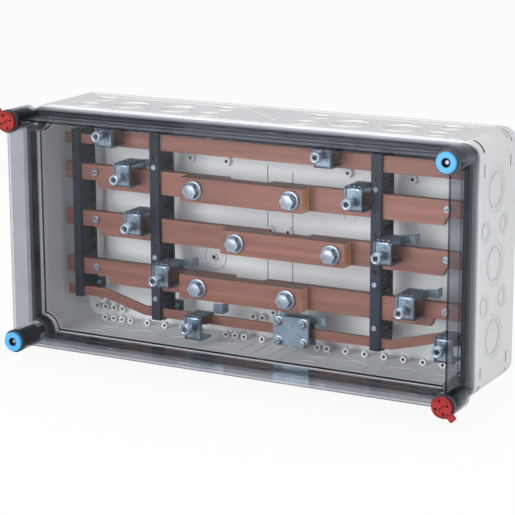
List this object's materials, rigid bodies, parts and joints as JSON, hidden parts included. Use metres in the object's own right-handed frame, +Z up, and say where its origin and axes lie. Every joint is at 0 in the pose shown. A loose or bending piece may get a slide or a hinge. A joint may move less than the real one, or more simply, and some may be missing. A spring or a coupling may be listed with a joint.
{
  "type": "busbar distribution box",
  "caption": "Wall-mounted busbar distribution box: grey base with knockout walls, clear screwed lid, copper busbars on comb supports, link bars and conductor clamps.",
  "frame": {"origin": "centre of the back face, which lies on the wall", "axes": "+X to the right, +Z up, +Y into the wall: the lid faces -Y"},
  "size_m": [0.612, 0.1922, 0.3112],
  "materials": {
    "base_grey": "fine matte moulded grey",
    "lid_clear": "clear smoky plastic, polished",
    "seal_black": "soft black foam",
    "bolt_black": "satin black",
    "ring_blue": "satin blue",
    "cap_red": "satin red",
    "support_slate": "dark slate moulded plastic",
    "screw_steel": "zinc plated",
    "bar_copper": "dull copper bar",
    "link_copper": "dull copper bar with bright cut ends",
    "clamp_zinc": "bluish zinc plated sheet"
  },
  "bodies": {
    "base": {"base_box": "base_grey", "base_posts": "base_grey", "support_far_left": "support_slate", "keeper_far_left": "support_slate", "support_left": "support_slate", "keeper_left": "support_slate", "support_right": "support_slate", "keeper_right": "support_slate", "support_far_right": "support_slate", "keeper_far_right": "support_slate", "support_screws": "screw_steel", "n_bar": "bar_copper", "pe_bar": "bar_copper", "l1_bar_left": "bar_copper", "l1_bar_right": "bar_copper", "l1_link_bars": "link_copper", "l2_bar_left": "bar_copper", "l2_bar_right": "bar_copper", "l2_link_bars": "link_copper", "l3_bar_left": "bar_copper", "l3_bar_right": "bar_copper", "l3_link_bars": "link_copper", "link_bolts": "screw_steel", "link_nuts": "screw_steel", "tap_screws": "screw_steel", "clamp_frames": "clamp_zinc", "clamp_saddles": "link_copper", "pe_clamp_base": "clamp_zinc"},
    "lid": {"lid": "lid_clear", "lid_gasket": "seal_black"},
    "fastener_top_left": {"lid_bolt_top_left": "bolt_black"},
    "fastener_top_right": {"lid_bolt_top_right": "bolt_black", "bolt_ring_top_right": "ring_blue"},
    "fastener_bottom_left": {"lid_bolt_bottom_left": "bolt_black", "bolt_ring_bottom_left": "ring_blue"},
    "fastener_bottom_right": {"lid_bolt_bottom_right": "bolt_black"},
    "cap_top_left": {"seal_cap_top_left": "cap_red"},
    "cap_bottom_right": {"seal_cap_bottom_right": "cap_red"},
    "jaw_n_left": {"clamp_jaw_n_left": "clamp_zinc"},
    "screw_n_left": {"clamp_screw_n_left": "screw_steel"},
    "jaw_n_right": {"clamp_jaw_n_right": "clamp_zinc"},
    "screw_n_right": {"clamp_screw_n_right": "screw_steel"},
    "jaw_l1_left": {"clamp_jaw_l1_left": "clamp_zinc"},
    "screw_l1_left": {"clamp_screw_l1_left": "screw_steel"},
    "jaw_l1_right": {"clamp_jaw_l1_right": "clamp_zinc"},
    "screw_l1_right": {"clamp_screw_l1_right": "screw_steel"},
    "jaw_l2_left": {"clamp_jaw_l2_left": "clamp_zinc"},
    "screw_l2_left": {"clamp_screw_l2_left": "screw_steel"},
    "jaw_l2_right": {"clamp_jaw_l2_right": "clamp_zinc"},
    "screw_l2_right": {"clamp_screw_l2_right": "screw_steel"},
    "jaw_l3_left": {"clamp_jaw_l3_left": "clamp_zinc"},
    "screw_l3_left": {"clamp_screw_l3_left": "screw_steel"},
    "jaw_l3_right": {"clamp_jaw_l3_right": "clamp_zinc"},
    "screw_l3_right": {"clamp_screw_l3_right": "screw_steel"},
    "jaw_pe_left": {"clamp_jaw_pe_left": "clamp_zinc"},
    "screw_pe_left": {"clamp_screw_pe_left": "screw_steel"},
    "jaw_pe_right": {"clamp_jaw_pe_right": "clamp_zinc"},
    "screw_pe_right": {"clamp_screw_pe_right": "screw_steel"},
    "pe_plate": {"pe_clamp_plate": "clamp_zinc", "pe_clamp_screws": "screw_steel"}
  },
  "joints": [
    {"name": "lid_lift", "type": "slide", "parent": "base", "child": "lid", "axis": [0, -1, 0], "range_m": [0, 0.15]},
    {"name": "fastener_turn_top_left", "type": "hinge", "parent": "lid", "child": "fastener_top_left", "pos_m": [-0.2893, -0.187, 0.1389], "axis": [0, 1, 0], "range_deg": [0, 90]},
    {"name": "fastener_turn_top_right", "type": "hinge", "parent": "lid", "child": "fastener_top_right", "pos_m": [0.2893, -0.187, 0.1389], "axis": [0, 1, 0], "range_deg": [0, 90]},
    {"name": "fastener_turn_bottom_left", "type": "hinge", "parent": "lid", "child": "fastener_bottom_left", "pos_m": [-0.2893, -0.187, -0.1389], "axis": [0, 1, 0], "range_deg": [0, 90]},
    {"name": "fastener_turn_bottom_right", "type": "hinge", "parent": "lid", "child": "fastener_bottom_right", "pos_m": [0.2893, -0.187, -0.1389], "axis": [0, 1, 0], "range_deg": [0, 90]},
    {"name": "seal_cap_pull_top_left", "type": "slide", "parent": "lid", "child": "cap_top_left", "axis": [0, -1, 0], "range_m": [0, 0.02]},
    {"name": "seal_cap_pull_bottom_right", "type": "slide", "parent": "lid", "child": "cap_bottom_right", "axis": [0, -1, 0], "range_m": [0, 0.02]},
    {"name": "jaw_slide_n_left", "type": "slide", "parent": "base", "child": "jaw_n_left", "axis": [0, 1, 0], "range_m": [0, 0.008]},
    {"name": "screw_turn_n_left", "type": "hinge", "parent": "jaw_n_left", "child": "screw_n_left", "pos_m": [-0.21, -0.106, 0.1145], "axis": [0, 1, 0], "range_deg": [0, 2304]},
    {"name": "jaw_slide_n_right", "type": "slide", "parent": "base", "child": "jaw_n_right", "axis": [0, 1, 0], "range_m": [0, 0.008]},
    {"name": "screw_turn_n_right", "type": "hinge", "parent": "jaw_n_right", "child": "screw_n_right", "pos_m": [0.092, -0.106, 0.1145], "axis": [0, 1, 0], "range_deg": [0, 2304]},
    {"name": "jaw_slide_l1_left", "type": "slide", "parent": "base", "child": "jaw_l1_left", "axis": [0, 1, 0], "range_m": [0, 0.008]},
    {"name": "screw_turn_l1_left", "type": "hinge", "parent": "jaw_l1_left", "child": "screw_l1_left", "pos_m": [-0.185, -0.106, 0.0625], "axis": [0, 1, 0], "range_deg": [0, 2304]},
    {"name": "jaw_slide_l1_right", "type": "slide", "parent": "base", "child": "jaw_l1_right", "axis": [0, 1, 0], "range_m": [0, 0.008]},
    {"name": "screw_turn_l1_right", "type": "hinge", "parent": "jaw_l1_right", "child": "screw_l1_right", "pos_m": [0.133, -0.106, 0.0625], "axis": [0, 1, 0], "range_deg": [0, 2304]},
    {"name": "jaw_slide_l2_left", "type": "slide", "parent": "base", "child": "jaw_l2_left", "axis": [0, 1, 0], "range_m": [0, 0.008]},
    {"name": "screw_turn_l2_left", "type": "hinge", "parent": "jaw_l2_left", "child": "screw_l2_left", "pos_m": [-0.1705, -0.106, 0.002], "axis": [0, 1, 0], "range_deg": [0, 2304]},
    {"name": "jaw_slide_l2_right", "type": "slide", "parent": "base", "child": "jaw_l2_right", "axis": [0, 1, 0], "range_m": [0, 0.008]},
    {"name": "screw_turn_l2_right", "type": "hinge", "parent": "jaw_l2_right", "child": "screw_l2_right", "pos_m": [0.1712, -0.106, 0.002], "axis": [0, 1, 0], "range_deg": [0, 2304]},
    {"name": "jaw_slide_l3_left", "type": "slide", "parent": "base", "child": "jaw_l3_left", "axis": [0, 1, 0], "range_m": [0, 0.008]},
    {"name": "screw_turn_l3_left", "type": "hinge", "parent": "jaw_l3_left", "child": "screw_l3_left", "pos_m": [-0.131, -0.106, -0.0605], "axis": [0, 1, 0], "range_deg": [0, 2304]},
    {"name": "jaw_slide_l3_right", "type": "slide", "parent": "base", "child": "jaw_l3_right", "axis": [0, 1, 0], "range_m": [0, 0.008]},
    {"name": "screw_turn_l3_right", "type": "hinge", "parent": "jaw_l3_right", "child": "screw_l3_right", "pos_m": [0.201, -0.106, -0.0605], "axis": [0, 1, 0], "range_deg": [0, 2304]},
    {"name": "jaw_slide_pe_left", "type": "slide", "parent": "base", "child": "jaw_pe_left", "axis": [0, 1, 0], "range_m": [0, 0.008]},
    {"name": "screw_turn_pe_left", "type": "hinge", "parent": "jaw_pe_left", "child": "screw_pe_left", "pos_m": [-0.086, -0.106, -0.1165], "axis": [0, 1, 0], "range_deg": [0, 2304]},
    {"name": "jaw_slide_pe_right", "type": "slide", "parent": "base", "child": "jaw_pe_right", "axis": [0, 1, 0], "range_m": [0, 0.008]},
    {"name": "screw_turn_pe_right", "type": "hinge", "parent": "jaw_pe_right", "child": "screw_pe_right", "pos_m": [0.25, -0.106, -0.1005], "axis": [0, 1, 0], "range_deg": [0, 2304]},
    {"name": "pe_plate_slide", "type": "slide", "parent": "base", "child": "pe_plate", "axis": [0, -1, 0], "range_m": [0, 0.004]}
  ],
  "couplings": [
    {"joint": "jaw_slide_n_left", "follows": "screw_turn_n_left", "m_per_rad": 0.00019894},
    {"joint": "jaw_slide_n_right", "follows": "screw_turn_n_right", "m_per_rad": 0.00019894},
    {"joint": "jaw_slide_l1_left", "follows": "screw_turn_l1_left", "m_per_rad": 0.00019894},
    {"joint": "jaw_slide_l1_right", "follows": "screw_turn_l1_right", "m_per_rad": 0.00019894},
    {"joint": "jaw_slide_l2_left", "follows": "screw_turn_l2_left", "m_per_rad": 0.00019894},
    {"joint": "jaw_slide_l2_right", "follows": "screw_turn_l2_right", "m_per_rad": 0.00019894},
    {"joint": "jaw_slide_l3_left", "follows": "screw_turn_l3_left", "m_per_rad": 0.00019894},
    {"joint": "jaw_slide_l3_right", "follows": "screw_turn_l3_right", "m_per_rad": 0.00019894},
    {"joint": "jaw_slide_pe_left", "follows": "screw_turn_pe_left", "m_per_rad": 0.00019894},
    {"joint": "jaw_slide_pe_right", "follows": "screw_turn_pe_right", "m_per_rad": 0.00019894}
  ]
}
